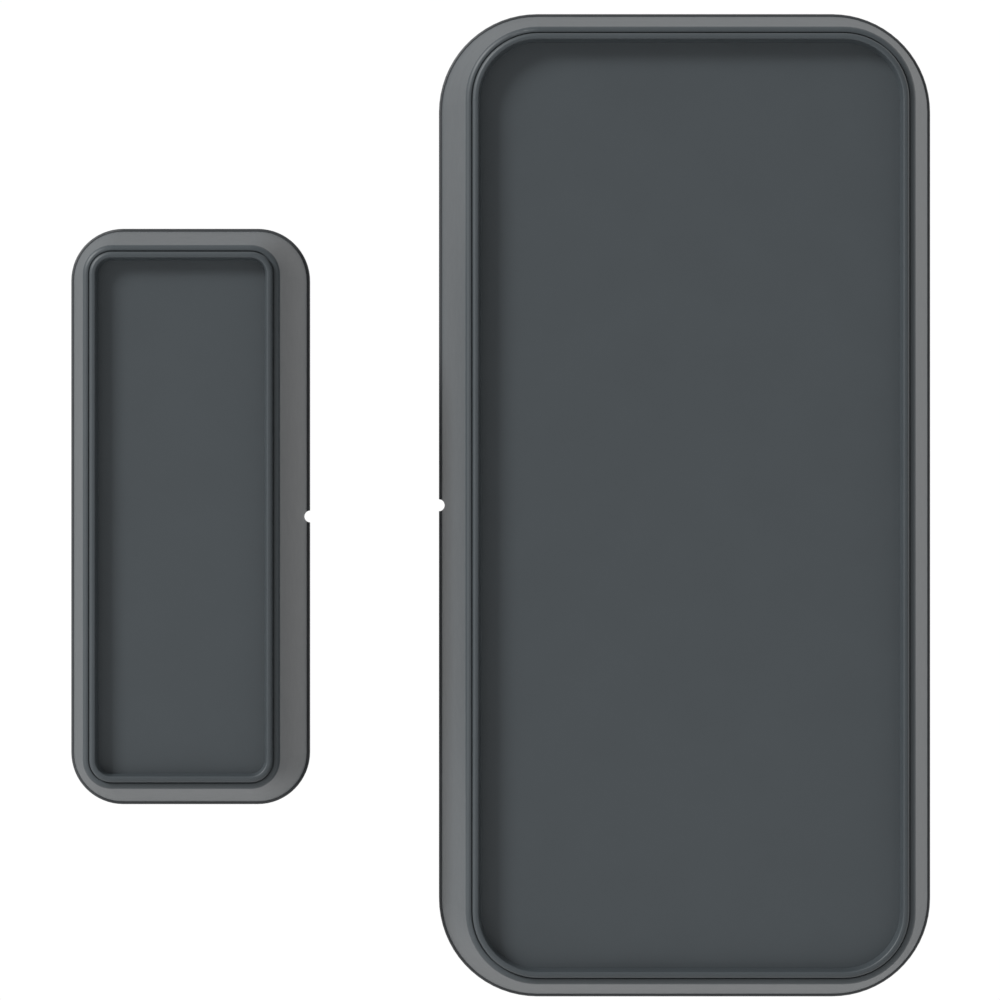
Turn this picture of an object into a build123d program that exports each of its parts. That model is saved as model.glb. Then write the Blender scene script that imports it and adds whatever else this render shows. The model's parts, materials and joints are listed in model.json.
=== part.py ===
"""Wireless door contact sensor: a sensor unit and a magnet unit, side by side on a wall.

The wall is the plane Y = 0 and the units stand off it towards -Y, with +Z up.
The origin is the centre of the sensor unit's back. Lengths are millimetres.
A "height" below is a distance off the wall. The local axes of every sketch plane
are X and Z, and its normal leaves the wall, so a positive extrude adds height.
"""

import math
import os
from dataclasses import dataclass

from build123d import *

os.makedirs("parts", exist_ok=True)


# ---------------------------------------------------------------- driving dimensions

@dataclass
class Unit:
    """One housing: where it stands on the wall, its outside size and its front."""

    x: float
    z: float
    width: float
    length: float
    depth: float
    corner: float
    lean: float
    dish: float
    hole_x: float
    hole_spacing: float
    hole_radius: float
    pad_width: float
    pad_length: float


SENSOR = Unit(x=0, z=0, width=35, length=70, depth=16, corner=7, lean=2.0, dish=1.3,
              hole_x=-11, hole_spacing=56, hole_radius=1.7, pad_width=24, pad_length=44)
MAGNET = Unit(x=-35.2, z=-0.8, width=17, length=41, depth=14.5, corner=3.7, lean=1.7, dish=1.05,
              hole_x=0, hole_spacing=32, hole_radius=1.5, pad_width=10, pad_length=23)

WALL = 1.25             # thickness of the covers' side walls
WEB = 1.0               # thickness of the covers' front, behind the panels
BASE_EDGE = 1.2         # thickness of the base plates' edge, which shows round the covers
COVER_START = 1.25      # height of the covers' rear edge
COVER_INSET = 0.2       # the base plates' edge stands this far outside the covers
LIP_DROP = 0.45         # the panels' rim stands this far proud of the covers' front edge
LIP = 0.36              # width of the covers' front edge
LIP_ROUND = 0.34
SHADOW_GAP = 0.1        # groove between the covers' front edge and the panels' rim
GAP_DEPTH = 0.15
LEDGE = 0.45            # width of the ledge that carries the panels' rim
RIM = 0.42              # width of the panels' rim
RIM_ROUND_OUT = 0.24
RIM_ROUND_IN = 0.12
FLANK = 0.16            # how far the dish's side leans in
PANEL_FLOOR = 1.0       # thickness of the panels under the dish
PANEL_PLAY = 0.05
NOTCH_RADIUS = 0.42     # alignment notches that face each other across the gap

BASE_PLATE = 1.8
BASE_FRONT_ROUND = 0.15
BASE_BACK_ROUND = 0.3
UPSTAND_INSET = 2.15
UPSTAND = 1.0           # thickness of the locating wall on the base
UPSTAND_TOP = 4.5
PAD = 0.8               # thickness of the adhesive pads, flush in their recess
PAD_PLAY = 0.1
PAD_CORNER = 2.0
HOLE_SINK = 1.1         # depth of the countersinks

BOARD_HEIGHT = 3.8      # rear face of the circuit board
BOARD = 1.2
BOARD_TOP = BOARD_HEIGHT + BOARD
BOARD_WIDTH = 28.2
BOARD_LENGTH = 63.2
BOARD_CORNER = 3.4
BOARD_HOLE_PLAY = 0.3
WALL_SCREW_ROOM = 4.2
BOARD_SCREWS = [(11.5, 28.2), (11.5, -28.6), (-11.3, 14.5)]
SCREW_SHANK = 0.75
SCREW_TIP = 1.4         # height of the screws' points

CELL_X, CELL_Z = 0.8, -17.0
CELL_RADIUS = 12.25
CELL = 5.0
CELL_FLOOR = 0.6        # holder under the cell
CELL_BOTTOM = BOARD_TOP + CELL_FLOOR
HOLDER_WALL = 0.8
HOLDER_TOP = CELL_BOTTOM + 4.2

REED_X = -12.3
REED_HEIGHT = BOARD_TOP + 1.6
REED_GLASS = 14.0
REED_RADIUS = 1.1
REED_WIRE = 0.25        # radius of its leads
REED_FOOT = REED_GLASS / 2 + 2.8
LEAD_HOLE_PLAY = 0.1
REED_ROOT = 5.2         # distance from the middle to the leads' ends, inside the glass
REED_OVERLAP = 0.6      # each blade's reach past the middle
BLADE = 0.18
BLADE_WIDTH = 1.0
CLOSED_GAP = 0.02

TAMPER_X, TAMPER_Z = 9.3, 20.0
TAMPER_CASE = 6.0
TAMPER_TOP = BOARD_TOP + 3.6
PLUNGER = 1.2           # radius of the tamper plunger's stem
PLUNGER_TOP = TAMPER_TOP + 1.0

BUTTON_X, BUTTON_Z = 9.3, 10.2
BUTTON_CASE = 4.6
BUTTON_CASE_TOP = BOARD_TOP + 1.8
BUTTON_RADIUS = 1.1
BUTTON_TOP = BUTTON_CASE_TOP + 1.2

RADIO_X, RADIO_Z = -1.4, 11.2
COIL_X, COIL_Z = 0.2, 25.4
COIL_HEIGHT = BOARD_TOP + 2.7
COIL_RADIUS = 1.9
COIL_WIRE = 0.35
COIL_PITCH = 1.7
COIL_TURNS = 7

MAGNET_BAR = (7.0, 25.0, 5.0)
MAGNET_SEAT = 2.4       # height of the bar magnet's rear face
POCKET_WALL = 1.0
POCKET_PLAY = 0.1


# ---------------------------------------------------------------- shared shapes

def level(height, x=0.0, z=0.0):
    """Plane parallel to the wall, at a height off it, centred at (x, z)."""
    return Plane(origin=(x, -height, z), x_dir=(1, 0, 0), z_dir=(0, -1, 0))


def lip_height(unit):
    """Height of the cover's front edge."""
    return unit.depth - LIP_DROP


def dish_floor(unit):
    """Height of the bottom of the front panel's dish."""
    return unit.depth - unit.dish


def web_height(unit):
    """Height of the inside of the cover's front."""
    return dish_floor(unit) - PANEL_FLOOR - WEB


def draft(unit):
    """Angle, in degrees, by which the cover's sides lean in."""
    return math.degrees(math.atan((unit.lean - COVER_INSET) / (lip_height(unit) - COVER_START)))


def outline(unit, inset):
    """The unit's rounded outline, inset from its outside at the wall."""
    RectangleRounded(unit.width - 2 * inset, unit.length - 2 * inset, unit.corner - inset)


def cut_notch(unit, side):
    """Half-round alignment notch in the unit's edge; it runs out up the tapered side."""
    with BuildSketch(level(0, unit.x + side * unit.width / 2, unit.z)) as notch:
        Circle(NOTCH_RADIUS)
    extrude(notch.sketch, amount=unit.depth / 3, mode=Mode.SUBTRACT)


def save(part, name):
    """Label a finished piece and write it."""
    part.label = name
    export_step(part, f"parts/{name}.step")


def block(width, length, low, high, x, z):
    """A plain box between two heights, centred at (x, z)."""
    with BuildPart() as box:
        with BuildSketch(level(low, x, z)):
            Rectangle(width, length)
        extrude(amount=high - low)
    return box.part


# ---------------------------------------------------------------- housings

def make_cover(unit, notch_side):
    """Tapered shell, open at the back, with a ledge at the front for its panel."""
    with BuildPart() as cover:
        with BuildSketch(level(COVER_START, unit.x, unit.z)):
            outline(unit, COVER_INSET)
        extrude(amount=lip_height(unit) - COVER_START, taper=draft(unit))
        fillet(cover.faces().sort_by(Axis.Y)[0].edges(), radius=LIP_ROUND)
        with BuildSketch(level(COVER_START, unit.x, unit.z)):
            outline(unit, COVER_INSET + WALL)
        extrude(amount=web_height(unit) - COVER_START, taper=draft(unit), mode=Mode.SUBTRACT)
        rebate = unit.lean + LIP
        with BuildSketch(level(lip_height(unit) - GAP_DEPTH, unit.x, unit.z)):
            outline(unit, rebate)
        extrude(amount=GAP_DEPTH, mode=Mode.SUBTRACT)
        with BuildSketch(level(web_height(unit) + WEB, unit.x, unit.z)):
            outline(unit, rebate + LEDGE)
        extrude(amount=unit.dish + PANEL_FLOOR, mode=Mode.SUBTRACT)
        cut_notch(unit, notch_side)
    return cover.part


def make_panel(unit):
    """Dished front panel whose rim stands in the cover's rebate."""
    ledge_height = lip_height(unit) - GAP_DEPTH
    rim_outside = unit.lean + LIP + SHADOW_GAP
    with BuildPart() as panel:
        with BuildSketch(level(web_height(unit) + WEB, unit.x, unit.z)):
            outline(unit, unit.lean + LIP + LEDGE + PANEL_PLAY)
        extrude(amount=ledge_height - web_height(unit) - WEB)
        with BuildSketch(level(ledge_height, unit.x, unit.z)):
            outline(unit, rim_outside)
        extrude(amount=unit.depth - ledge_height)
        dish_angle = math.degrees(math.atan(FLANK / unit.dish))
        with BuildSketch(level(dish_floor(unit), unit.x, unit.z)):
            outline(unit, rim_outside + RIM + FLANK)
        extrude(amount=unit.dish, taper=-dish_angle, mode=Mode.SUBTRACT)
        rim_face = panel.faces().sort_by(Axis.Y)[0]
        fillet(rim_face.outer_wire().edges(), radius=RIM_ROUND_OUT)
        fillet(panel.faces().sort_by(Axis.Y)[0].inner_wires().edges(), radius=RIM_ROUND_IN)
    return panel.part


def make_base_blank(unit, notch_side):
    """Back plate with its locating wall, adhesive recess and two countersunk holes."""
    with BuildPart() as blank:
        with BuildSketch(level(0, unit.x, unit.z)):
            outline(unit, 0)
        extrude(amount=BASE_EDGE)
        fillet(blank.faces().sort_by(Axis.Y)[0].edges(), radius=BASE_FRONT_ROUND)
        fillet(blank.faces().sort_by(Axis.Y)[-1].edges(), radius=BASE_BACK_ROUND)
        with BuildSketch(level(BASE_EDGE, unit.x, unit.z)):
            outline(unit, UPSTAND_INSET)
        extrude(amount=BASE_PLATE - BASE_EDGE)
        with BuildSketch(level(BASE_PLATE, unit.x, unit.z)):
            outline(unit, UPSTAND_INSET)
            outline_inside = UPSTAND_INSET + UPSTAND
            RectangleRounded(unit.width - 2 * outline_inside, unit.length - 2 * outline_inside,
                             unit.corner - outline_inside, mode=Mode.SUBTRACT)
        extrude(amount=UPSTAND_TOP - BASE_PLATE)
        with BuildSketch(level(0, unit.x, unit.z)):
            RectangleRounded(unit.pad_width, unit.pad_length, PAD_CORNER)
        extrude(amount=PAD, mode=Mode.SUBTRACT)
        with Locations(level(BASE_PLATE, unit.x + unit.hole_x, unit.z)):
            with GridLocations(0, unit.hole_spacing, 1, 2):
                CounterSinkHole(radius=unit.hole_radius, counter_sink_radius=unit.hole_radius + HOLE_SINK,
                                depth=BASE_PLATE, counter_sink_angle=90)
        cut_notch(unit, notch_side)
    return blank.part


def make_pad(unit):
    """Foam tape that fills the recess in a back plate."""
    with BuildPart() as pad:
        with BuildSketch(level(0, unit.x, unit.z)):
            RectangleRounded(unit.pad_width - 2 * PAD_PLAY, unit.pad_length - 2 * PAD_PLAY,
                             PAD_CORNER - PAD_PLAY)
        extrude(amount=PAD)
    return pad.part


save(make_panel(SENSOR), "sensor_front_panel")
save(make_panel(MAGNET), "magnet_front_panel")
save(make_pad(SENSOR), "sensor_adhesive_pad")
save(make_pad(MAGNET), "magnet_adhesive_pad")
save(make_cover(MAGNET, notch_side=1), "magnet_cover")

# The base's top wall carries two lugs. Each reaches into a pocket in the cover's top wall,
# over a bar that keeps the cover's top end down until it swings about its top rear edge.
LUG_X = 8.0
LUG_WIDTH = 4.0
LUG_Z = 33.73           # tip of the lugs
LUG_LOW, LUG_HIGH = 2.2, 3.4
POCKET_LOW, POCKET_HIGH = 1.85, 3.7
POCKET_Z = 33.93
LUG_PLAY = 0.3
PRESSER_RADIUS = 1.4    # boss on the cover that holds the tamper plunger down
PRESSER_PLAY = 0.05

with BuildPart() as sensor_cover:
    add(make_cover(SENSOR, notch_side=-1))
    wall_inside = SENSOR.length / 2 - UPSTAND_INSET
    with BuildSketch(level(POCKET_LOW, 0, (wall_inside + POCKET_Z) / 2)):
        with GridLocations(2 * LUG_X, 0, 2, 1):
            Rectangle(LUG_WIDTH + 2 * LUG_PLAY, POCKET_Z - wall_inside)
    extrude(amount=POCKET_HIGH - POCKET_LOW, mode=Mode.SUBTRACT)
    with BuildSketch(level(PLUNGER_TOP + PRESSER_PLAY, TAMPER_X, TAMPER_Z)):
        Circle(PRESSER_RADIUS)
    extrude(until=Until.NEXT)
save(sensor_cover.part, "sensor_cover")

# ---------------------------------------------------------------- sensor base

BOSS_RADIUS = 2.0
BOSS_HOLE_START = 1.2   # height of the floor of the screw holes
BOSS_HOLE_PLAY = 0.05
RIB_Z = 12.0            # centring ribs on the locating wall's sides
RIB_WIDTH = 2.0
RIB_DEPTH = 0.15        # how far the ribs stand out
RIB_RISE = 1.6
PRY_WIDTH = 6.0         # slot in the rear edge, for levering the unit off the wall
PRY_REACH = 1.5
PRY_DEPTH = 0.6

with BuildPart() as sensor_base:
    add(make_base_blank(SENSOR, notch_side=-1))
    lug_root = SENSOR.length / 2 - UPSTAND_INSET - UPSTAND / 2
    with BuildSketch(level(LUG_LOW, 0, (lug_root + LUG_Z) / 2)):
        with GridLocations(2 * LUG_X, 0, 2, 1):
            Rectangle(LUG_WIDTH, LUG_Z - lug_root)
    extrude(amount=LUG_HIGH - LUG_LOW)
    with BuildSketch(level(BASE_PLATE)):
        with Locations(*BOARD_SCREWS):
            Circle(BOSS_RADIUS)
    extrude(amount=BOARD_HEIGHT - BASE_PLATE)
    with BuildSketch(level(BOSS_HOLE_START)):
        with Locations(*BOARD_SCREWS):
            Circle(SCREW_SHANK + BOSS_HOLE_PLAY)
    extrude(amount=BOARD_HEIGHT, mode=Mode.SUBTRACT)
    with BuildSketch(level(BASE_PLATE)):
        with GridLocations(SENSOR.width - 2 * UPSTAND_INSET, 2 * RIB_Z, 2, 2):
            Rectangle(2 * RIB_DEPTH, RIB_WIDTH)
    extrude(amount=RIB_RISE)
    with BuildSketch(level(0, 0, -SENSOR.length / 2)):
        Rectangle(PRY_WIDTH, 2 * PRY_REACH)
    extrude(amount=PRY_DEPTH, mode=Mode.SUBTRACT)
save(sensor_base.part, "sensor_base")

# ---------------------------------------------------------------- circuit board

with BuildPart() as circuit_board:
    with BuildSketch(level(BOARD_HEIGHT)):
        RectangleRounded(BOARD_WIDTH, BOARD_LENGTH, BOARD_CORNER)
        # Round the wall screws the board is cut away to its corner.
        for end in (-1, 1):
            screw_z = end * SENSOR.hole_spacing / 2
            with Locations((SENSOR.hole_x, screw_z)):
                Circle(WALL_SCREW_ROOM, mode=Mode.SUBTRACT)
            with Locations((SENSOR.hole_x - WALL_SCREW_ROOM, screw_z)):
                Rectangle(2 * WALL_SCREW_ROOM, 2 * WALL_SCREW_ROOM, mode=Mode.SUBTRACT)
            with Locations((SENSOR.hole_x, screw_z + end * WALL_SCREW_ROOM)):
                Rectangle(2 * WALL_SCREW_ROOM, 2 * WALL_SCREW_ROOM, mode=Mode.SUBTRACT)
        with Locations(*BOARD_SCREWS):
            Circle(SCREW_SHANK + BOARD_HOLE_PLAY, mode=Mode.SUBTRACT)
        with Locations((REED_X, REED_FOOT), (REED_X, -REED_FOOT)):
            Circle(REED_WIRE + LEAD_HOLE_PLAY, mode=Mode.SUBTRACT)
    extrude(amount=BOARD)
save(circuit_board.part, "circuit_board")

SCREW_HEAD_RADIUS = 1.7
SCREW_HEAD = 1.1
SCREW_HEAD_ROUND = 0.45
CROSS_LENGTH = 1.8
CROSS_WIDTH = 0.4
CROSS_FLOOR = 0.5       # height of the cross slot's floor above the board

with BuildPart() as board_screws:
    with BuildSketch(level(SCREW_TIP)):
        with Locations(*BOARD_SCREWS):
            Circle(SCREW_SHANK)
    extrude(amount=BOARD_TOP - SCREW_TIP)
    with BuildSketch(level(BOARD_TOP)):
        with Locations(*BOARD_SCREWS):
            Circle(SCREW_HEAD_RADIUS)
    extrude(amount=SCREW_HEAD)
    fillet(board_screws.faces().sort_by(Axis.Y)[:3].edges(), radius=SCREW_HEAD_ROUND)
    with BuildSketch(level(BOARD_TOP + CROSS_FLOOR)):
        with Locations(*BOARD_SCREWS):
            Rectangle(CROSS_LENGTH, CROSS_WIDTH)
            Rectangle(CROSS_WIDTH, CROSS_LENGTH)
    extrude(amount=SCREW_HEAD, mode=Mode.SUBTRACT)
save(board_screws.part, "board_screws")

# ---------------------------------------------------------------- battery

HOLDER_PLAY = 0.1
FINGER_GAP = 10.0       # gap at the bottom of the holder, to lever the cell out
FINGER_GAP_DEPTH = 2.5
FINGER_GAP_RISE = 1.0
CONTACT_SLOT = 5.4      # room for either contact
NEGATIVE_LENGTH = 17.0
POSITIVE_Z = CELL_Z + 6
HOOKS = 3               # over the cell's edge
FIRST_HOOK = 100        # degrees, from the holder's right side
HOOK_WIDTH = 3.6
HOOK_REACH = 0.7
HOOK = 0.6
HOOK_PLAY = 0.05

with BuildPart() as battery_holder:
    holder_radius = CELL_RADIUS + HOLDER_PLAY
    with BuildSketch(level(BOARD_TOP, CELL_X, CELL_Z)):
        Circle(holder_radius + HOLDER_WALL)
    extrude(amount=HOLDER_TOP - BOARD_TOP)
    with BuildSketch(level(CELL_BOTTOM, CELL_X, CELL_Z)):
        Circle(holder_radius)
    extrude(amount=HOLDER_TOP, mode=Mode.SUBTRACT)
    # Finger gap at the bottom, contact gap at the right, contact slot in the floor.
    with BuildSketch(level(CELL_BOTTOM + FINGER_GAP_RISE, CELL_X, CELL_Z - holder_radius)):
        Rectangle(FINGER_GAP, 2 * FINGER_GAP_DEPTH)
    extrude(amount=HOLDER_TOP, mode=Mode.SUBTRACT)
    with BuildSketch(level(BOARD_TOP, CELL_X + holder_radius, POSITIVE_Z)):
        Rectangle(CONTACT_SLOT, CONTACT_SLOT)
    extrude(amount=HOLDER_TOP, mode=Mode.SUBTRACT)
    with BuildSketch(level(BOARD_TOP, CELL_X, CELL_Z)):
        Rectangle(CONTACT_SLOT, NEGATIVE_LENGTH + 1)
    extrude(amount=HOLDER_TOP, mode=Mode.SUBTRACT)
    hook_low = CELL_BOTTOM + CELL + HOOK_PLAY
    with BuildSketch(level(BOARD_TOP, CELL_X, CELL_Z)):
        with PolarLocations(holder_radius + HOLDER_WALL / 2, HOOKS, start_angle=FIRST_HOOK):
            Rectangle(HOLDER_WALL, HOOK_WIDTH)
    extrude(amount=hook_low + HOOK - BOARD_TOP)
    with BuildSketch(level(hook_low, CELL_X, CELL_Z)):
        with PolarLocations(holder_radius, HOOKS, start_angle=FIRST_HOOK):
            Rectangle(2 * HOOK_REACH, HOOK_WIDTH)
    extrude(amount=HOOK)
save(battery_holder.part, "battery_holder")

CAN = 0.3
CAN_RISE = 0.5          # the cap stands out this far under the can's back edge
CAN_BACK_ROUND = 0.25
CAN_FRONT_ROUND = 0.6
CAP_RADIUS = 10.6
CAP_ROUND = 0.25
GASKET_START = 0.3      # depth from the cap's face
GASKET_LENGTH = 2.2
CELL_PLAY = 0.02        # between the can, the gasket and the cap
CAP_INNER_GAP = 0.1     # between the cap and the can's inside

with BuildPart() as battery_can:
    with BuildSketch(level(CELL_BOTTOM + CAN_RISE, CELL_X, CELL_Z)):
        Circle(CELL_RADIUS)
    extrude(amount=CELL - CAN_RISE)
    fillet(battery_can.faces().sort_by(Axis.Y)[0].edges(), radius=CAN_FRONT_ROUND)
    fillet(battery_can.faces().sort_by(Axis.Y)[-1].edges(), radius=CAN_BACK_ROUND)
    with BuildSketch(level(CELL_BOTTOM, CELL_X, CELL_Z)):
        Circle(CELL_RADIUS - CAN)
    extrude(amount=CELL - CAN, mode=Mode.SUBTRACT)
save(battery_can.part, "battery_can")

with BuildPart() as battery_gasket:
    with BuildSketch(level(CELL_BOTTOM + GASKET_START, CELL_X, CELL_Z)):
        Circle(CELL_RADIUS - CAN - CELL_PLAY)
        Circle(CAP_RADIUS + CELL_PLAY, mode=Mode.SUBTRACT)
    extrude(amount=GASKET_LENGTH)
    fillet(battery_gasket.faces().sort_by(Axis.Y)[-1].edges(), radius=CAP_ROUND)
save(battery_gasket.part, "battery_gasket")

with BuildPart() as battery_cap:
    with BuildSketch(level(CELL_BOTTOM, CELL_X, CELL_Z)):
        Circle(CAP_RADIUS)
    extrude(amount=CELL - CAN - CAP_INNER_GAP)
    fillet(battery_cap.faces().sort_by(Axis.Y)[-1].edges(), radius=CAP_ROUND)
save(battery_cap.part, "battery_cap")

STRIP = 0.25            # thickness of the battery contacts
NEGATIVE_WIDTH = 4.4
DIMPLE_RADIUS = 1.1     # the negative contact's two raised dimples
DIMPLE_ROUND = 0.2
DIMPLE_SPACING = 8.0
POSITIVE_WIDTH = 4.0
POSITIVE_HEIGHT = 4.6
POSITIVE_FOOT = 1.1
TOUCH_GAP = 0.02        # left between a contact and the cell

with BuildPart() as battery_negative_contact:
    with BuildSketch(level(BOARD_TOP, CELL_X, CELL_Z)):
        Rectangle(NEGATIVE_WIDTH, NEGATIVE_LENGTH)
    extrude(amount=STRIP)
    with BuildSketch(level(BOARD_TOP + STRIP, CELL_X, CELL_Z)):
        with GridLocations(0, DIMPLE_SPACING, 1, 2):
            Circle(DIMPLE_RADIUS)
    extrude(amount=CELL_FLOOR - STRIP - TOUCH_GAP)
    fillet(battery_negative_contact.faces().sort_by(Axis.Y)[:2].edges(), radius=DIMPLE_ROUND)
save(battery_negative_contact.part, "battery_negative_contact")

with BuildPart() as battery_positive_contact:
    # The strip's lower edge is where it comes nearest the round cell.
    nearest_z = POSITIVE_Z - POSITIVE_WIDTH / 2 - CELL_Z
    contact_x = CELL_X + math.sqrt(CELL_RADIUS ** 2 - nearest_z ** 2) + TOUCH_GAP
    with BuildSketch(level(BOARD_TOP, contact_x + STRIP / 2, POSITIVE_Z)):
        Rectangle(STRIP, POSITIVE_WIDTH)
    extrude(amount=POSITIVE_HEIGHT)
    with BuildSketch(level(BOARD_TOP, contact_x + POSITIVE_FOOT / 2, POSITIVE_Z)):
        Rectangle(POSITIVE_FOOT, POSITIVE_WIDTH)
    extrude(amount=STRIP)
save(battery_positive_contact.part, "battery_positive_contact")

# ---------------------------------------------------------------- reed switch

REED_AXIS = Plane(origin=(REED_X, -REED_HEIGHT, 0), x_dir=(1, 0, 0), z_dir=(0, 0, 1))
SEAL = 1.5              # solid glass at each end
GLASS_END_ROUND = 0.6
GLASS_WALL = 0.3
GLASS_FIT = 0.02        # round the leads, where they pass the seals
LEAD_BEND = 0.8
LEAD_TIP = 0.4          # how far the leads stand below the board's rear face
BLADE_SOCKET = 0.2      # the fixed blade starts this far inside its lead
BLADE_GAP = 0.03        # between the moving blade and its lead

with BuildPart() as reed_glass:
    with BuildSketch(REED_AXIS.offset(-REED_GLASS / 2)):
        Circle(REED_RADIUS)
    extrude(amount=REED_GLASS)
    fillet(reed_glass.edges().filter_by(GeomType.CIRCLE), radius=GLASS_END_ROUND)
    with BuildSketch(REED_AXIS.offset(SEAL - REED_GLASS / 2)):
        Circle(REED_RADIUS - GLASS_WALL)
    extrude(amount=REED_GLASS - 2 * SEAL, mode=Mode.SUBTRACT)
    with BuildSketch(REED_AXIS.offset(-REED_GLASS / 2)):
        Circle(REED_WIRE + GLASS_FIT)
    extrude(amount=REED_GLASS, mode=Mode.SUBTRACT)
save(reed_glass.part, "reed_glass")

with BuildPart() as reed_leads:
    for side in (-1, 1):
        with BuildLine() as lead_path:
            FilletPolyline(
                (REED_X, -REED_HEIGHT, side * REED_ROOT),
                (REED_X, -REED_HEIGHT, side * REED_FOOT),
                (REED_X, -(BOARD_HEIGHT - LEAD_TIP), side * REED_FOOT),
                radius=LEAD_BEND,
            )
        with BuildSketch(Plane(origin=lead_path.line @ 0, z_dir=lead_path.line % 0)):
            Circle(REED_WIRE)
        sweep()
    # The fixed blade grows out of the lower lead.
    with BuildSketch(REED_AXIS.offset(-REED_ROOT - BLADE_SOCKET)):
        with Locations((-(CLOSED_GAP + BLADE) / 2, 0)):
            Rectangle(BLADE, BLADE_WIDTH)
    extrude(amount=REED_ROOT + BLADE_SOCKET + REED_OVERLAP)
save(reed_leads.part, "reed_leads")

with BuildPart() as reed_moving_blade:
    with BuildSketch(REED_AXIS.offset(-REED_OVERLAP)):
        with Locations(((CLOSED_GAP + BLADE) / 2, 0)):
            Rectangle(BLADE, BLADE_WIDTH)
    extrude(amount=REED_ROOT - BLADE_GAP + REED_OVERLAP)
save(reed_moving_blade.part, "reed_moving_blade")

# ---------------------------------------------------------------- radio and antenna

RADIO_WIDTH = 13.6
RADIO_LENGTH = 15.0
RADIO_TOP = BOARD_TOP + 0.8
SHIELD_WIDTH = 11.8
SHIELD_LENGTH = 12.0
SHIELD_HEIGHT = 2.0
SHIELD_CORNER = 0.6
SHIELD_ROUND = 0.3
SHIELD_TIN = 0.2
SHIELD_Z = RADIO_Z - 0.8

save(block(RADIO_WIDTH, RADIO_LENGTH, BOARD_TOP, RADIO_TOP, RADIO_X, RADIO_Z), "radio_board")

with BuildPart() as radio_shield:
    with BuildSketch(level(RADIO_TOP, RADIO_X, SHIELD_Z)):
        RectangleRounded(SHIELD_WIDTH, SHIELD_LENGTH, SHIELD_CORNER)
    extrude(amount=SHIELD_HEIGHT)
    fillet(radio_shield.faces().sort_by(Axis.Y)[0].edges(), radius=SHIELD_ROUND)
    with BuildSketch(level(RADIO_TOP, RADIO_X, SHIELD_Z)):
        RectangleRounded(SHIELD_WIDTH - 2 * SHIELD_TIN, SHIELD_LENGTH - 2 * SHIELD_TIN,
                         SHIELD_CORNER - SHIELD_TIN)
    extrude(amount=SHIELD_HEIGHT - SHIELD_TIN, mode=Mode.SUBTRACT)
save(radio_shield.part, "radio_shield")

with BuildPart() as antenna_coil:
    coil_length = COIL_PITCH * COIL_TURNS
    with BuildLine() as turns:
        Helix(pitch=COIL_PITCH, height=coil_length, radius=COIL_RADIUS,
              center=(COIL_X - coil_length / 2, -COIL_HEIGHT, COIL_Z), direction=(1, 0, 0))
    with BuildSketch(Plane(origin=turns.line @ 0, z_dir=turns.line % 0)):
        Circle(COIL_WIRE)
    sweep(is_frenet=True)
    for end in (turns.line @ 0, turns.line @ 1):
        with BuildSketch(level(BOARD_TOP, end.X, end.Z)):
            Circle(COIL_WIRE)
        extrude(amount=-end.Y - BOARD_TOP)
save(antenna_coil.part, "antenna_coil")

# ---------------------------------------------------------------- tamper switch

FLANGE = 1.7            # radius of the plunger's flange inside the case
FLANGE_LOW = BOARD_TOP + 2.1
FLANGE_THICKNESS = 0.35
FLANGE_PLAY = 0.15
SPRING_LOW = BOARD_TOP + 0.6
CHAMBER = 2.6           # height of the hollow the flange and spring sit in
SWITCH_CORNER = 0.4
SWITCH_PLAY = 0.1       # round the plunger and the button
PLUNGER_ROUND = 0.4

with BuildPart() as tamper_switch_case:
    add(block(TAMPER_CASE, TAMPER_CASE, BOARD_TOP, TAMPER_TOP, TAMPER_X, TAMPER_Z))
    fillet(tamper_switch_case.edges().filter_by(Axis.Y), radius=SWITCH_CORNER)
    with BuildSketch(level(SPRING_LOW, TAMPER_X, TAMPER_Z)):
        Circle(FLANGE + FLANGE_PLAY)
    extrude(amount=CHAMBER, mode=Mode.SUBTRACT)
    with BuildSketch(level(SPRING_LOW, TAMPER_X, TAMPER_Z)):
        Circle(PLUNGER + SWITCH_PLAY)
    extrude(amount=TAMPER_TOP, mode=Mode.SUBTRACT)
save(tamper_switch_case.part, "tamper_switch_case")

with BuildPart() as tamper_plunger:
    with BuildSketch(level(FLANGE_LOW, TAMPER_X, TAMPER_Z)):
        Circle(FLANGE)
    extrude(amount=FLANGE_THICKNESS)
    with BuildSketch(level(FLANGE_LOW, TAMPER_X, TAMPER_Z)):
        Circle(PLUNGER)
    extrude(amount=PLUNGER_TOP - FLANGE_LOW)
    fillet(tamper_plunger.faces().sort_by(Axis.Y)[0].edges(), radius=PLUNGER_ROUND)
save(tamper_plunger.part, "tamper_plunger")

SPRING_WIRE = 0.11
SPRING_PITCH = 0.36
SPRING_RADIUS = 1.1
SPRING_END = SPRING_WIRE + 0.02     # wire centre to the face the spring bears on

with BuildPart() as tamper_spring:
    with BuildLine() as spring_line:
        Helix(pitch=SPRING_PITCH, height=FLANGE_LOW - SPRING_LOW - 2 * SPRING_END, radius=SPRING_RADIUS,
              center=(TAMPER_X, -(SPRING_LOW + SPRING_END), TAMPER_Z), direction=(0, -1, 0))
    with BuildSketch(Plane(origin=spring_line.line @ 0, z_dir=spring_line.line % 0)):
        Circle(SPRING_WIRE)
    sweep(is_frenet=True)
save(tamper_spring.part, "tamper_spring")

# ---------------------------------------------------------------- pairing switch

BUTTON_ROUND = 0.25
BUTTON_WELL = BOARD_TOP + 0.4
BUTTON_LOW = BOARD_TOP + 0.8

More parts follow.
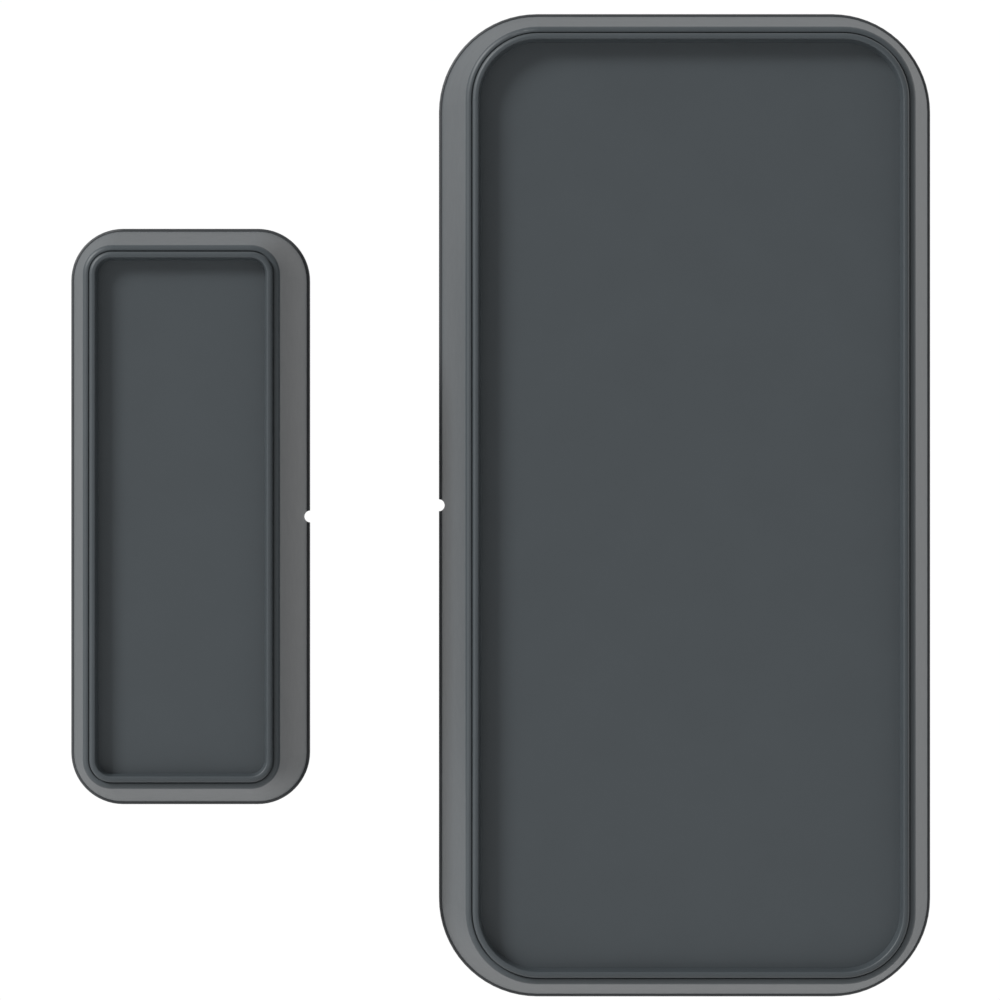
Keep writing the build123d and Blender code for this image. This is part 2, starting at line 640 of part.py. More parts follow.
with BuildPart() as pairing_switch_case:
    add(block(BUTTON_CASE, BUTTON_CASE, BOARD_TOP, BUTTON_CASE_TOP, BUTTON_X, BUTTON_Z))
    fillet(pairing_switch_case.edges().filter_by(Axis.Y), radius=SWITCH_CORNER)
    with BuildSketch(level(BUTTON_WELL, BUTTON_X, BUTTON_Z)):
        Circle(BUTTON_RADIUS + SWITCH_PLAY)
    extrude(amount=BUTTON_CASE_TOP, mode=Mode.SUBTRACT)
save(pairing_switch_case.part, "pairing_switch_case")

with BuildPart() as pairing_button:
    with BuildSketch(level(BUTTON_LOW, BUTTON_X, BUTTON_Z)):
        Circle(BUTTON_RADIUS)
    extrude(amount=BUTTON_TOP - BUTTON_LOW)
    fillet(pairing_button.faces().sort_by(Axis.Y)[0].edges(), radius=BUTTON_ROUND)
save(pairing_button.part, "pairing_button")

# ---------------------------------------------------------------- small board parts

CHIP_X, CHIP_Z = 2.6, -0.4
CHIP_WIDTH = 5.0
CHIP_LENGTH = 3.9
CHIP_LOW = BOARD_TOP + 0.1
CHIP_TOP = BOARD_TOP + 1.4
CHIP_CHAMFER = 0.2
PIN_SIZE = (0.8, 0.4, 0.2)
PIN_PITCH = 0.9
PINS_A_SIDE = 4
LED_X, LED_Z = 9.3, 4.2
LED_BODY = (2.8, 1.8, 0.6)
LED_LENS = (1.9, 1.5, 0.5)
LED_LENS_CORNER = 0.3
LED_LENS_TAPER = 8
CRYSTAL_X, CRYSTAL_Z = -10.9, 19.8
CRYSTAL_SIZE = (3.2, 2.5, 0.8)

with BuildPart() as controller_chip:
    add(block(CHIP_WIDTH, CHIP_LENGTH, CHIP_LOW, CHIP_TOP, CHIP_X, CHIP_Z))
    chamfer(controller_chip.faces().sort_by(Axis.Y)[0].edges(), length=CHIP_CHAMFER)
save(controller_chip.part, "controller_chip")

with BuildPart() as controller_pins:
    for side in (-1, 1):
        with BuildSketch(level(BOARD_TOP, CHIP_X + side * (CHIP_WIDTH + PIN_SIZE[0]) / 2, CHIP_Z)):
            with GridLocations(0, PIN_PITCH, 1, PINS_A_SIDE):
                Rectangle(PIN_SIZE[0], PIN_SIZE[1])
        extrude(amount=PIN_SIZE[2])
save(controller_pins.part, "controller_pins")

with BuildPart() as status_led:
    add(block(LED_BODY[0], LED_BODY[1], BOARD_TOP, BOARD_TOP + LED_BODY[2], LED_X, LED_Z))
    with BuildSketch(level(BOARD_TOP + LED_BODY[2], LED_X, LED_Z)):
        RectangleRounded(LED_LENS[0], LED_LENS[1], LED_LENS_CORNER)
    extrude(amount=LED_LENS[2], taper=LED_LENS_TAPER)
save(status_led.part, "status_led")

save(block(CRYSTAL_SIZE[0], CRYSTAL_SIZE[1], BOARD_TOP, BOARD_TOP + CRYSTAL_SIZE[2], CRYSTAL_X, CRYSTAL_Z),
     "crystal")

CAPACITORS = [(-6.2, 0.9), (-6.2, -1.1), (8.4, -1.0), (11.2, -1.0), (-8.3, 22.2), (4.9, 20.6), (-4.6, 20.9)]
RESISTORS = [(-3.9, 0.9), (-3.9, -1.1), (7.3, 14.4), (9.3, 14.4), (11.3, 14.4), (-1.9, 20.9), (12.6, 4.2)]

CAPACITOR_SIZE = (0.9, 1.6, 0.9)
RESISTOR_SIZE = (0.8, 1.6, 0.5)

for name, spots, size in (("board_capacitors", CAPACITORS, CAPACITOR_SIZE),
                          ("board_resistors", RESISTORS, RESISTOR_SIZE)):
    with BuildPart() as small_parts:
        with BuildSketch(level(BOARD_TOP)):
            with Locations(*spots):
                Rectangle(size[0], size[1])
        extrude(amount=size[2])
    save(small_parts.part, name)

# ---------------------------------------------------------------- magnet unit

bar_width, bar_length, bar_depth = MAGNET_BAR
bar_top = MAGNET_SEAT + bar_depth
BAR_CHAMFER = 0.3
BAR_PROUD = 1.0         # how far the bar stands out of its pocket
BAR_HOOK_WIDTH = 4.0
BAR_HOOK = 0.6
BAR_HOOK_REACH = 0.25
BAR_HOOK_PLAY = 0.05

with BuildPart() as bar_magnet:
    add(block(bar_width, bar_length, MAGNET_SEAT, bar_top, MAGNET.x, MAGNET.z))
    chamfer(bar_magnet.edges(), length=BAR_CHAMFER)
save(bar_magnet.part, "bar_magnet")

with BuildPart() as magnet_base:
    add(make_base_blank(MAGNET, notch_side=1))
    # A walled pocket for the bar, on a raised floor, with a hook at each long side.
    with BuildSketch(level(BASE_PLATE, MAGNET.x, MAGNET.z)):
        Rectangle(bar_width + 2 * (POCKET_PLAY + POCKET_WALL), bar_length + 2 * (POCKET_PLAY + POCKET_WALL))
    extrude(amount=bar_top - BAR_PROUD - BASE_PLATE)
    with BuildSketch(level(MAGNET_SEAT, MAGNET.x, MAGNET.z)):
        Rectangle(bar_width + 2 * POCKET_PLAY, bar_length + 2 * POCKET_PLAY)
    extrude(amount=bar_top, mode=Mode.SUBTRACT)
    hook_x = bar_width / 2 + POCKET_PLAY + POCKET_WALL / 2
    with BuildSketch(level(BASE_PLATE, MAGNET.x, MAGNET.z)):
        with GridLocations(2 * hook_x, 0, 2, 1):
            Rectangle(POCKET_WALL, BAR_HOOK_WIDTH)
    extrude(amount=bar_top + BAR_HOOK_PLAY + BAR_HOOK - BASE_PLATE)
    with BuildSketch(level(bar_top + BAR_HOOK_PLAY, MAGNET.x, MAGNET.z)):
        with GridLocations(2 * (hook_x - BAR_HOOK_REACH), 0, 2, 1):
            Rectangle(POCKET_WALL + 2 * BAR_HOOK_REACH, BAR_HOOK_WIDTH)
    extrude(amount=BAR_HOOK)
save(magnet_base.part, "magnet_base")
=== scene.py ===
"""Looks of a wireless door contact sensor: a sensor unit and its magnet unit."""

import json
import math
import random

import bmesh
import bpy
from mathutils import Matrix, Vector


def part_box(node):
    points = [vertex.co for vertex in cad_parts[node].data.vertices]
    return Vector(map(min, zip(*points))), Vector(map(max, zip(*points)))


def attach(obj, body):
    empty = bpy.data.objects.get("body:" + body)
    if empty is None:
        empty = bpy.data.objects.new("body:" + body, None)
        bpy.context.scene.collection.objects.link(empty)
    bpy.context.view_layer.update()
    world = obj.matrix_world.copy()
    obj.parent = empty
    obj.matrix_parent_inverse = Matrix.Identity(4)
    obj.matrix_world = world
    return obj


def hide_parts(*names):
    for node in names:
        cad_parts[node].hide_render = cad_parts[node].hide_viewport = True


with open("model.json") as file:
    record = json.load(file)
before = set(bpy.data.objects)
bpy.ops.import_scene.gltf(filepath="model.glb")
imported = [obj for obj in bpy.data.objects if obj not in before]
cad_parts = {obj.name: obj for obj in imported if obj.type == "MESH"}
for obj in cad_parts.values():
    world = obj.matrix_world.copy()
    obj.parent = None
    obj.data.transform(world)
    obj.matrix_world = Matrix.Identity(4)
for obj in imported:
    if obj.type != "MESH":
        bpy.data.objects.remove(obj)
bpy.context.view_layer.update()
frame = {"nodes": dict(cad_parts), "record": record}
nodes = frame["nodes"]

MM = 0.001
SEED = 7
NOISE_LOW, NOISE_HIGH = 0.3, 0.7    # the part of a noise's range that most of it falls in


# ------------------------------------------------------------------ materials

class Shader:
    """A material under construction: its node tree, its principled shader and its object coordinates."""

    def __init__(self, name):
        self.material = bpy.data.materials.new(name)
        self.material.use_nodes = True
        self.tree = self.material.node_tree
        self.principled = self.tree.nodes["Principled BSDF"]
        self.coordinates = self.tree.nodes.new("ShaderNodeTexCoord").outputs["Object"]

    def link(self, source, target):
        self.tree.links.new(source, target)

    def set(self, **values):
        for key, value in values.items():
            self.principled.inputs[key.replace("_", " ")].default_value = value

    def noise(self, scale, detail=3.0, roughness=0.5, stretch=None):
        """Noise in object space; scale is in cycles per metre."""
        node = self.tree.nodes.new("ShaderNodeTexNoise")
        node.inputs["Scale"].default_value = scale
        node.inputs["Detail"].default_value = detail
        node.inputs["Roughness"].default_value = roughness
        source = self.coordinates
        if stretch:
            mapping = self.tree.nodes.new("ShaderNodeMapping")
            mapping.inputs["Scale"].default_value = stretch
            self.link(source, mapping.inputs["Vector"])
            source = mapping.outputs["Vector"]
        self.link(source, node.inputs["Vector"])
        return node.outputs["Fac"]

    def ramp(self, factor, low, high, start, end):
        node = self.tree.nodes.new("ShaderNodeValToRGB")
        node.color_ramp.elements[0].position = start
        node.color_ramp.elements[1].position = end
        node.color_ramp.elements[0].color = (*low, 1)
        node.color_ramp.elements[1].color = (*high, 1)
        self.link(factor, node.inputs["Fac"])
        return node.outputs["Color"]

    def span(self, factor, low, high):
        node = self.tree.nodes.new("ShaderNodeMapRange")
        node.inputs["From Min"].default_value = NOISE_LOW
        node.inputs["From Max"].default_value = NOISE_HIGH
        node.inputs["To Min"].default_value = low
        node.inputs["To Max"].default_value = high
        self.link(factor, node.inputs["Value"])
        return node.outputs["Result"]

    def bump(self, height, distance, strength=1.0, under=None):
        """Surface relief; distance is its full height in metres."""
        node = self.tree.nodes.new("ShaderNodeBump")
        node.inputs["Distance"].default_value = distance
        node.inputs["Strength"].default_value = strength
        self.link(height, node.inputs["Height"])
        if under:
            self.link(under, node.inputs["Normal"])
        self.link(node.outputs["Normal"], self.principled.inputs["Normal"])
        return node.outputs["Normal"]

    def colour(self, factor, low, high, start=NOISE_LOW, end=NOISE_HIGH):
        self.link(self.ramp(factor, low, high, start, end), self.principled.inputs["Base Color"])

    def gloss(self, factor, low, high):
        self.link(self.span(factor, low, high), self.principled.inputs["Roughness"])


PLASTIC_IOR = 1.46
GLASS_IOR = 1.5
FLOW_SCALE = 260
SHEEN_SCALE = 900
SINK_SCALE = 120
WEAVE_SCALE = 900
FOAM_CELL_SCALE = 4200


def tint(colour, amount):
    return tuple(c * amount for c in colour)


def moulded(name, colour, rough, grain, relief, variation=0.05, waviness=4e-6):
    """Moulded plastic: spark-eroded grain, a faint flow mottle and uneven gloss.

    grain is the texture's scale and relief its height; waviness is the height of broad sink marks.
    """
    s = Shader(name)
    s.set(IOR=PLASTIC_IOR)
    flow = s.noise(FLOW_SCALE, 4)
    s.colour(flow, tint(colour, 1 - variation), tint(colour, 1 + variation))
    sheen = s.noise(SHEEN_SCALE, 5, 0.6)
    s.gloss(sheen, rough - 0.5 * variation, rough + 0.5 * variation)
    broad = s.bump(s.noise(SINK_SCALE, 2), waviness)
    s.bump(s.noise(grain, 3, 0.65), relief, under=broad)
    return s.material


def metal(name, colour, rough, stretch=None, scale=3000, relief=1.5e-6):
    """Bare or plated metal with fine drawn or tumbled marks."""
    s = Shader(name)
    s.set(Metallic=1.0)
    marks = s.noise(scale, 4, 0.6, stretch)
    s.colour(marks, tint(colour, 0.9), colour)
    s.gloss(s.noise(500, 4), rough - 0.06, rough + 0.08)
    s.bump(marks, relief)
    return s.material


def glass():
    s = Shader("reed_glass")
    s.set(IOR=GLASS_IOR, Transmission_Weight=1.0)
    s.colour(s.noise(300, 2), (0.8, 0.92, 0.86), (0.86, 0.95, 0.9))
    s.gloss(s.noise(700, 3), 0.01, 0.05)
    return s.material


def solder_mask():
    """Green lacquer over fibreglass whose weave shows faintly."""
    s = Shader("solder_mask")
    s.set(IOR=GLASS_IOR, Coat_Weight=0.4, Coat_Roughness=0.15)
    weave = s.tree.nodes.new("ShaderNodeTexBrick")
    weave.inputs["Scale"].default_value = WEAVE_SCALE
    weave.inputs["Mortar Size"].default_value = 0.08
    weave.inputs["Color1"].default_value = (0.006, 0.07, 0.03, 1)
    weave.inputs["Color2"].default_value = (0.007, 0.078, 0.034, 1)
    weave.inputs["Mortar"].default_value = (0.005, 0.058, 0.026, 1)
    turned = s.tree.nodes.new("ShaderNodeMapping")
    turned.inputs["Rotation"].default_value = (math.radians(90), 0, 0)
    s.link(s.coordinates, turned.inputs["Vector"])
    s.link(turned.outputs["Vector"], weave.inputs["Vector"])
    s.link(weave.outputs["Color"], s.principled.inputs["Base Color"])
    s.gloss(s.noise(600, 4), 0.22, 0.36)
    s.bump(s.noise(400, 3), 6e-6)
    return s.material


def foam():
    """White closed-cell foam tape: small cells cut open at the surface, with painted shade darkening their
    hollows.
    """
    s = Shader("foam_tape")
    cells = s.tree.nodes.new("ShaderNodeTexVoronoi")
    cells.inputs["Scale"].default_value = FOAM_CELL_SCALE
    s.link(s.coordinates, cells.inputs["Vector"])
    # Painted shade: the colour darkens towards each cell's middle, where the bump below sinks a hollow.
    s.colour(cells.outputs["Distance"], (0.5, 0.5, 0.48), (0.78, 0.78, 0.75), start=0.05, end=0.5)
    s.gloss(s.noise(800, 3), 0.75, 0.9)
    s.bump(cells.outputs["Distance"], 2.5e-5, strength=0.8)
    return s.material


HOUSING = (0.0352, 0.0431, 0.0484)
materials = {
    "housing": moulded("housing", HOUSING, rough=0.5, grain=5200, relief=5e-6,
                       variation=0.025, waviness=1.5e-6),
    "front_panel": moulded("front_panel", HOUSING, rough=0.52, grain=5200, relief=6e-6,
                           variation=0.025, waviness=1.5e-6),
    "back_plate": moulded("back_plate", (0.028, 0.031, 0.034), rough=0.55, grain=3600, relief=1.2e-5,
                          variation=0.1),
    "foam_tape": foam(),
    "solder_mask": solder_mask(),
    "screw_steel": metal("screw_steel", (0.62, 0.62, 0.64), rough=0.3),
    "holder_plastic": moulded("holder_plastic", (0.018, 0.018, 0.019), rough=0.4, grain=3000,
                              relief=8e-6, variation=0.15),
    "cell_steel": metal("cell_steel", (0.68, 0.68, 0.69), rough=0.3, stretch=(1, 14, 14), scale=1400),
    "gasket": moulded("gasket", (0.05, 0.05, 0.05), rough=0.5, grain=3000, relief=8e-6, variation=0.15),
    "contact_metal": metal("contact_metal", (0.75, 0.71, 0.62), rough=0.28, stretch=(12, 1, 1)),
    "reed_glass": glass(),
    "shield_tin": metal("shield_tin", (0.72, 0.72, 0.73), rough=0.34, scale=2200, relief=3e-6),
    "copper_wire": metal("copper_wire", (0.72, 0.32, 0.16), rough=0.25),
    "switch_plastic": moulded("switch_plastic", (0.015, 0.015, 0.017), rough=0.45, grain=4000,
                              relief=8e-6, variation=0.2),
    "plunger_plastic": moulded("plunger_plastic", (0.68, 0.67, 0.63), rough=0.35, grain=3000,
                               relief=5e-6),
    "spring_steel": metal("spring_steel", (0.6, 0.6, 0.62), rough=0.25),
    "led_lens": moulded("led_lens", (0.75, 0.74, 0.6), rough=0.2, grain=2500, relief=4e-6),
    "ceramic_body": moulded("ceramic_body", (0.3, 0.2, 0.12), rough=0.5, grain=5000, relief=8e-6,
                            variation=0.2),
    "magnet_plating": metal("magnet_plating", (0.66, 0.64, 0.61), rough=0.2, stretch=(1, 1, 9),
                            scale=1500),
}
solder = metal("solder", (0.78, 0.78, 0.8), rough=0.22, scale=2500, relief=4e-6)
trace = moulded("trace", (0.012, 0.11, 0.05), rough=0.28, grain=3000, relief=3e-6)

slots = {row["node"]: row["material_slot"] for row in frame["record"]["subparts"]}
for node_name, node in nodes.items():
    node.data.materials.clear()
    node.data.materials.append(materials[slots[node_name]])


# ------------------------------------------------------------------ small pieces

def finish_piece(name, mesh_data, material, body, smooth=True):
    mesh = bpy.data.meshes.new(name)
    mesh_data.to_mesh(mesh)
    mesh_data.free()
    piece = bpy.data.objects.new(name, mesh)
    bpy.context.scene.collection.objects.link(piece)
    mesh.materials.append(material)
    for polygon in mesh.polygons:
        polygon.use_smooth = smooth
    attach(piece, body)
    return piece


PAD_CORNER = 1.9 * MM
PAD_RINGS = 28              # rings of faces from the pad's edge to its middle
PAD_CORNER_STEPS = 12
PAD_MESH = 1.2 * MM         # longest edge round the pad
PAD_SINK = 0.03 * MM        # the pad's outside lies this far inside the plate's back
PAD_SEAT = 0.02 * MM        # how far the pad is pressed against the floor of its recess
PAD_RIPPLE = 0.012 * MM
PAD_RIPPLE_X, PAD_RIPPLE_Z = 900, 700       # radians per metre
PAD_FALL = 0.12 * MM        # how far its edge is pressed down
PAD_FALL_WIDTH = 0.5 * MM
PAD_SIDES = ((0.3, -0.02 * MM), (0.6, -0.03 * MM), (1.0, 0.0))     # share of the depth, bulge


def rounded_outline(half):
    """Points round a rectangle with rounded corners, no further than PAD_MESH apart."""
    corners = []
    for quarter in range(4):
        sx = (1, -1, -1, 1)[quarter]
        sz = (1, 1, -1, -1)[quarter]
        for step in range(PAD_CORNER_STEPS + 1):
            turn = math.radians(90 * quarter + 90 * step / PAD_CORNER_STEPS)
            corners.append((sx * (half.x - PAD_CORNER) + PAD_CORNER * math.cos(turn),
                            sz * (half.z - PAD_CORNER) + PAD_CORNER * math.sin(turn)))
    points = []
    for i, (x, z) in enumerate(corners):
        nx, nz = corners[(i + 1) % len(corners)]
        parts = max(1, round(math.hypot(nx - x, nz - z) / PAD_MESH))
        points += [(x + (nx - x) * k / parts, z + (nz - z) * k / parts) for k in range(parts)]
    return points


def join_loops(data, lower, upper):
    """A closed band of faces between two loops of as many vertices."""
    for i in range(len(lower)):
        j = (i + 1) % len(lower)
        data.faces.new((lower[i], lower[j], upper[j], upper[i]))


def foam_pad(name, node, body):
    """Foam tape: a slab with pressed, slightly fallen edges and a faintly wavy outside."""
    low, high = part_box(node)
    centre = (low + high) / 2
    half = (high - low) / 2
    outline = rounded_outline(half)
    rng = random.Random(SEED)
    wave = [rng.uniform(-1, 1) for _ in range(2)]

    def surface(x, z, edge):
        ripple = PAD_RIPPLE * (math.sin(x * PAD_RIPPLE_X + wave[0]) + math.sin(z * PAD_RIPPLE_Z + wave[1]))
        return -PAD_SINK + min(0.0, ripple) - PAD_FALL * max(0.0, 1 - edge / PAD_FALL_WIDTH) ** 2

    data = bmesh.new()
    rings = []
    for ring_index in range(PAD_RINGS):
        t = ring_index / PAD_RINGS
        inset = 1 - (1 - t) ** 2
        edge = min(half.x, half.z) * inset
        rings.append([])
        for x, z in outline:
            px, pz = x * (1 - inset), z * (1 - inset)
            rings[-1].append(data.verts.new((centre.x + px, surface(px, pz, edge), centre.z + pz)))
    sides = []
    for depth, bulge in PAD_SIDES:
        k = 1 + bulge / half.x
        y = low.y * depth - PAD_SEAT
        sides.append([data.verts.new((centre.x + x * k, y, centre.z + z * k)) for x, z in outline])
    loops = list(reversed(sides)) + rings
    for lower, upper in zip(loops, loops[1:]):
        join_loops(data, lower, upper)
    data.faces.new(rings[-1])
    data.faces.new(list(reversed(loops[0])))
    bmesh.ops.recalc_face_normals(data, faces=data.faces)
    piece = finish_piece(name, data, materials["foam_tape"], body)
    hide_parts(node)


def circle(data, x, y, z, radius, segments):
    """A loop of vertices round a circle parallel to the wall."""
    turns = [2 * math.pi * i / segments for i in range(segments)]
    return [data.verts.new((x + radius * math.cos(a), y, z + radius * math.sin(a))) for a in turns]


DOME_SEGMENTS = 20
DOME_RINGS = 5


def dome(data, x, z, base_y, radius, height):
    """A solder joint: a low cone that flares into its pad."""
    lower = circle(data, x, base_y, z, radius, DOME_SEGMENTS)
    data.faces.new(list(reversed(lower)))
    for ring_index in range(1, DOME_RINGS):
        t = ring_index / DOME_RINGS
        upper = circle(data, x, base_y - height * t ** 1.6, z, radius * (1 - t) ** 0.6, DOME_SEGMENTS)
        join_loops(data, lower, upper)
        lower = upper
    tip = data.verts.new((x, base_y - height, z))
    for i in range(DOME_SEGMENTS):
        data.faces.new((lower[i], lower[(i + 1) % DOME_SEGMENTS], tip))


def ribbon(data, points, width, base_y, height):
    """A flat raised strip along a polyline on the board."""
    left, right = [], []
    for i, point in enumerate(points):
        before = points[max(i - 1, 0)]
        after = points[min(i + 1, len(points) - 1)]
        direction = Vector((after[0] - before[0], after[1] - before[1])).normalized()
        side = Vector((-direction.y, direction.x)) * width / 2
        left.append((point[0] + side.x, point[1] + side.y))
        right.append((point[0] - side.x, point[1] - side.y))
    outline = left + list(reversed(right))
    top = [data.verts.new((x, base_y - height, z)) for x, z in outline]
    bottom = [data.verts.new((x, base_y, z)) for x, z in outline]
    n = len(points)
    for i in range(n - 1):
        j = 2 * n - 1 - i
        data.faces.new((top[i], top[i + 1], top[j - 1], top[j]))
        data.faces.new((bottom[j], bottom[j - 1], bottom[i + 1], bottom[i]))
    for i in range(2 * n):
        j = (i + 1) % (2 * n)
        data.faces.new((bottom[i], bottom[j], top[j], top[i]))


def islands(node):
    """Boxes of the separate solids of a CAD node."""
    mesh = nodes[node].data
    parent = list(range(len(mesh.vertices)))

    def find(i):
        while parent[i] != i:
            parent[i] = parent[parent[i]]
            i = parent[i]
        return i

    places = {}
    for vertex in mesh.vertices:
        key = tuple(round(c * 1e6) for c in vertex.co)
        if key in places:
            parent[find(vertex.index)] = find(places[key])
        places[key] = vertex.index
    for edge in mesh.edges:
        parent[find(edge.vertices[0])] = find(edge.vertices[1])
    groups = {}
    for vertex in mesh.vertices:
        groups.setdefault(find(vertex.index), []).append(vertex.co)
    boxes = []
    for points in groups.values():
        low = Vector(min(p[axis] for p in points) for axis in range(3))
        high = Vector(max(p[axis] for p in points) for axis in range(3))
        boxes.append((low, high))
    return sorted(boxes, key=lambda pair: (round(pair[0].z, 6), round(pair[0].x, 6)))


foam_pad("sensor_foam_tape", "sensor_adhesive_pad", "sensor_body")
foam_pad("magnet_foam_tape", "magnet_adhesive_pad", "magnet_body")

board_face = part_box("circuit_board")[0].y

joints_mesh = bmesh.new()
for low, high in islands("board_capacitors") + islands("board_resistors"):
    for end in (low.z, high.z):
        dome(joints_mesh, (low.x + high.x) / 2, end, board_face, radius=0.42 * MM, height=0.34 * MM)
chip_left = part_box("controller_chip")[0].x
for low, high in islands("controller_pins"):
    dome(joints_mesh, low.x if low.x < chip_left else high.x, (low.z + high.z) / 2, board_face,
         radius=0.3 * MM, height=0.12 * MM)
LEAD_RADIUS = 0.25 * MM
for low, high in islands("reed_leads"):
    foot = low.z + LEAD_RADIUS if low.z < 0 else high.z - LEAD_RADIUS
    dome(joints_mesh, (low.x + high.x) / 2, foot, board_face, radius=0.75 * MM, height=0.45 * MM)
finish_piece("solder_joints", joints_mesh, solder, "sensor_body")


# ------------------------------------------------------------------ copper under the lacquer

def box_centre(node):
    low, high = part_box(node)
    return (low.x + high.x) / 2, (low.z + high.z) / 2


def routed(start, end):
    """A trace from start to end: straight, then one 45 degree turn."""
    run = end[0] - start[0]
    rise = end[1] - start[1]
    slant = min(abs(run), abs(rise))
    if abs(rise) > abs(run):
        corner = (start[0], end[1] - math.copysign(slant, rise))
    else:
        corner = (end[0] - math.copysign(slant, run), start[1])
    straight = min(math.dist(corner, start), math.dist(corner, end)) < 0.01 * MM
    return [start, end] if straight else [start, corner, end]


def fanned(pin, side, reach, top):
    """A trace that leaves a chip's pin sideways, turns up at 45 degrees and ends at height top."""
    bend = 0.25 * MM
    x = pin[0] + side * reach
    return [pin, (x - side * bend, pin[1]), (x, pin[1] + bend), (x, top)]


TRACE = 0.2 * MM            # width of a signal trace
WIDE_TRACE = 0.3 * MM
TRACE_HEIGHT = 0.03 * MM
TRACE_STEP = 0.002 * MM     # each trace is this much higher than the one before
chip_x = box_centre("controller_chip")[0]
radio_low, radio_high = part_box("radio_board")
lowest_end = radio_low.z + 1 * MM
highest_end = radio_high.z - 1 * MM
routes = []
rows = sorted({round(low.z, 6) for low, high in islands("controller_pins")}, reverse=True)
for low, high in islands("controller_pins"):
    pin = ((low.x + high.x) / 2, (low.z + high.z) / 2)
    side = math.copysign(1, pin[0] - chip_x)
    reach = (0.8 + 0.38 * rows.index(round(low.z, 6))) * MM
    routes.append((fanned(pin, side, reach, radio_low.z + 0.3 * MM), TRACE))
for low, high in islands("board_capacitors") + islands("board_resistors"):
    start = ((low.x + high.x) / 2, low.z)
    if not radio_low.x < start[0] < radio_high.x:
        edge = radio_low.x if start[0] < radio_low.x else radio_high.x
        routes.append((routed(start, (edge, min(max(low.z, lowest_end), highest_end))), TRACE))
for node in ("tamper_switch_case", "pairing_switch_case", "status_led", "crystal"):
    start = box_centre(node)
    edge = radio_low.x if start[0] < radio_low.x else radio_high.x
    routes.append((routed(start, (edge, min(max(start[1], lowest_end), highest_end))), WIDE_TRACE))

# The steps in height keep faces from coinciding where traces cross.
copper = bmesh.new()
for index, (points, width) in enumerate(routes):
    ribbon(copper, points, width, board_face, TRACE_HEIGHT + index * TRACE_STEP)
bmesh.ops.recalc_face_normals(copper, faces=copper.faces)
finish_piece("board_traces", copper, trace, "sensor_body", smooth=False)


# ------------------------------------------------------------------ moulding marks inside the cover

def ring(data, x, z, base_y, radius, width, height, segments=40):
    """A low raised ring on a face parallel to the wall; a positive height rises towards the wall."""
    inside = radius - width
    corners = ((radius, 0), (radius, height), (inside, height), (inside, 0))
    loops = [circle(data, x, base_y + rise, z, r, segments) for r, rise in corners]
    for first, second in zip(loops, loops[1:] + loops[:1]):
        join_loops(data, first, second)
    bmesh.ops.recalc_face_normals(data, faces=data.faces)


FACING_WALL = 0.99
REAR_EDGE = 5 * MM
MARK_HEIGHT = 0.06 * MM
MARK_WIDTH = 0.15 * MM


def inner_face(node):
    """Depth of the inside of a cover's front: its largest face turned to the wall, past the rear edge."""
    areas = {}
    for polygon in nodes[node].data.polygons:
        if polygon.normal.y > FACING_WALL:
            key = round(polygon.center.y, 5)
            areas[key] = areas.get(key, 0) + polygon.area
    inside = {key: area for key, area in areas.items() if key < -REAR_EDGE}
    return max(inside, key=inside.get)


cover_inside = inner_face("sensor_cover")
marks = bmesh.new()
for x, z in ((-9, 28), (9, 28), (-10, -1), (10, -1), (-9, -29.5), (9, -29.5)):
    ring(marks, x * MM, z * MM, cover_inside, radius=1.6 * MM, width=MARK_WIDTH, height=MARK_HEIGHT)
finish_piece("sensor_cover_ejector_marks", marks, materials["housing"], "sensor_lid")

magnet_inside = inner_face("magnet_cover")
magnet_x, magnet_z = box_centre("magnet_cover")
marks = bmesh.new()
for z in (-14.5, 14.5):
    ring(marks, magnet_x, magnet_z + z * MM, magnet_inside,
         radius=1.3 * MM, width=MARK_WIDTH, height=MARK_HEIGHT)
finish_piece("magnet_cover_ejector_marks", marks, materials["housing"], "magnet_lid")

cell_x, cell_z = box_centre("battery_can")
crimp = bmesh.new()
ring(crimp, cell_x, cell_z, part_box("battery_can")[0].y,
     radius=10.4 * MM, width=0.35 * MM, height=-0.04 * MM, segments=96)
finish_piece("battery_crimp_ring", crimp, materials["cell_steel"], "sensor_body")


# ------------------------------------------------------------------ studio

def area_light(name, location, target, size, power):
    light = bpy.data.lights.new(name, "AREA")
    light.energy = power
    light.size = size
    lamp = bpy.data.objects.new(name, light)
    bpy.context.scene.collection.objects.link(lamp)
    lamp.location = location
    lamp.rotation_euler = (Vector(target) - Vector(location)).to_track_quat("-Z", "Y").to_euler()


def make_floor(height, half):
    data = bmesh.new()
    bmesh.ops.create_grid(data, x_segments=8, y_segments=8, size=half)
    bmesh.ops.translate(data, verts=data.verts, vec=(0, 0, height))
    mesh = bpy.data.meshes.new("floor")
    data.to_mesh(mesh)
    data.free()
    floor = bpy.data.objects.new("floor", mesh)
    bpy.context.scene.collection.objects.link(floor)
    s = Shader("floor")
    s.colour(s.noise(3, 2), (0.7, 0.7, 0.7), (0.74, 0.74, 0.74))
    s.gloss(s.noise(5, 2), 0.6, 0.7)
    mesh.materials.append(s.material)


make_floor(height=-0.16, half=1.2)

SEEN_WHITE = 1.02           # just over white, so that the background renders plain white
scene = bpy.context.scene
scene.view_settings.view_transform = "Standard"

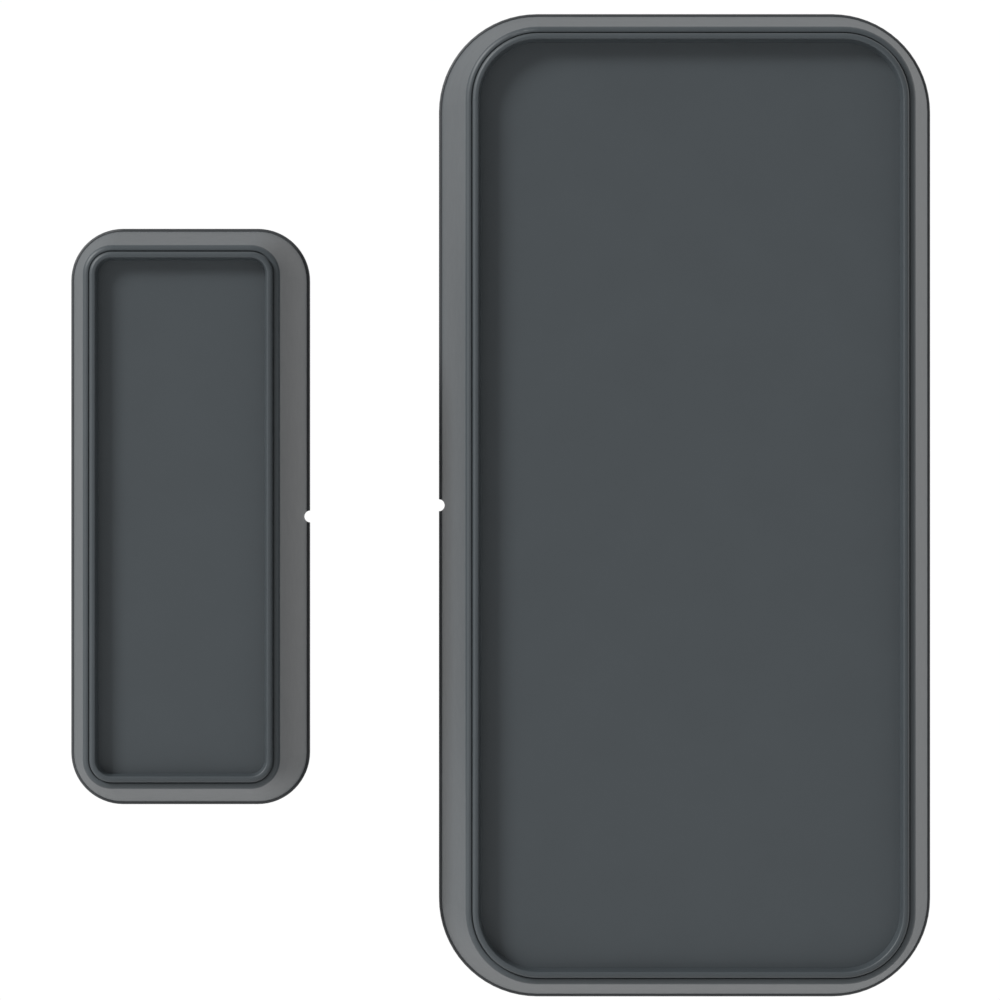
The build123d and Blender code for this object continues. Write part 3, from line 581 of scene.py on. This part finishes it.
# The camera sees plain white; the object is lit by a studio that is bright behind it,
# a little brighter above and to its right, and dim in front.
world = bpy.data.worlds.new("studio")
scene.world = world
world.use_nodes = True
tree = world.node_tree
background = tree.nodes["Background"]
background.inputs["Color"].default_value = (1, 1, 1, 1)
direction = tree.nodes.new("ShaderNodeTexCoord").outputs["Generated"]
split = tree.nodes.new("ShaderNodeSeparateXYZ")
tree.links.new(direction, split.inputs["Vector"])
def sky_ramp(source, start, end, low, high):
    """Brightness factor that goes smoothly from low to high as source goes from start to end."""
    node = tree.nodes.new("ShaderNodeMapRange")
    node.interpolation_type = "SMOOTHSTEP"
    node.inputs["From Min"].default_value = start
    node.inputs["From Max"].default_value = end
    node.inputs["To Min"].default_value = low
    node.inputs["To Max"].default_value = high
    tree.links.new(source, node.inputs["Value"])
    return node.outputs["Result"]


def product(first, second):
    node = tree.nodes.new("ShaderNodeMath")
    node.operation = "MULTIPLY"
    tree.links.new(first, node.inputs[0])
    tree.links.new(second, node.inputs[1])
    return node.outputs["Value"]


rear = sky_ramp(split.outputs["Y"], start=-0.6, end=0.4, low=0.32, high=0.7)
right = sky_ramp(split.outputs["X"], start=0.3, end=1.0, low=1.0, high=2.3)
above = sky_ramp(split.outputs["Z"], start=0.0, end=0.7, low=1.0, high=1.12)
sky = product(product(rear, right), above)
seen = tree.nodes.new("ShaderNodeLightPath").outputs["Is Camera Ray"]
strength = tree.nodes.new("ShaderNodeMix")
strength.inputs["B"].default_value = SEEN_WHITE
tree.links.new(seen, strength.inputs["Factor"])
tree.links.new(sky, strength.inputs["A"])
tree.links.new(strength.outputs["Result"], background.inputs["Strength"])

area_light("key", location=(-1.25, -0.85, 1.0), target=(0, 0, 0), size=0.5, power=40.5)

camera_data = bpy.data.cameras.new("camera")
camera_data.lens = 222.4
camera_data.sensor_width = 36
camera_data.clip_start = 0.01
camera = bpy.data.objects.new("camera", camera_data)
scene.collection.objects.link(camera)
camera.location = (-0.01315, -0.4413, 0.000375)
camera.rotation_euler = (math.radians(90), 0, 0)
scene.camera = camera
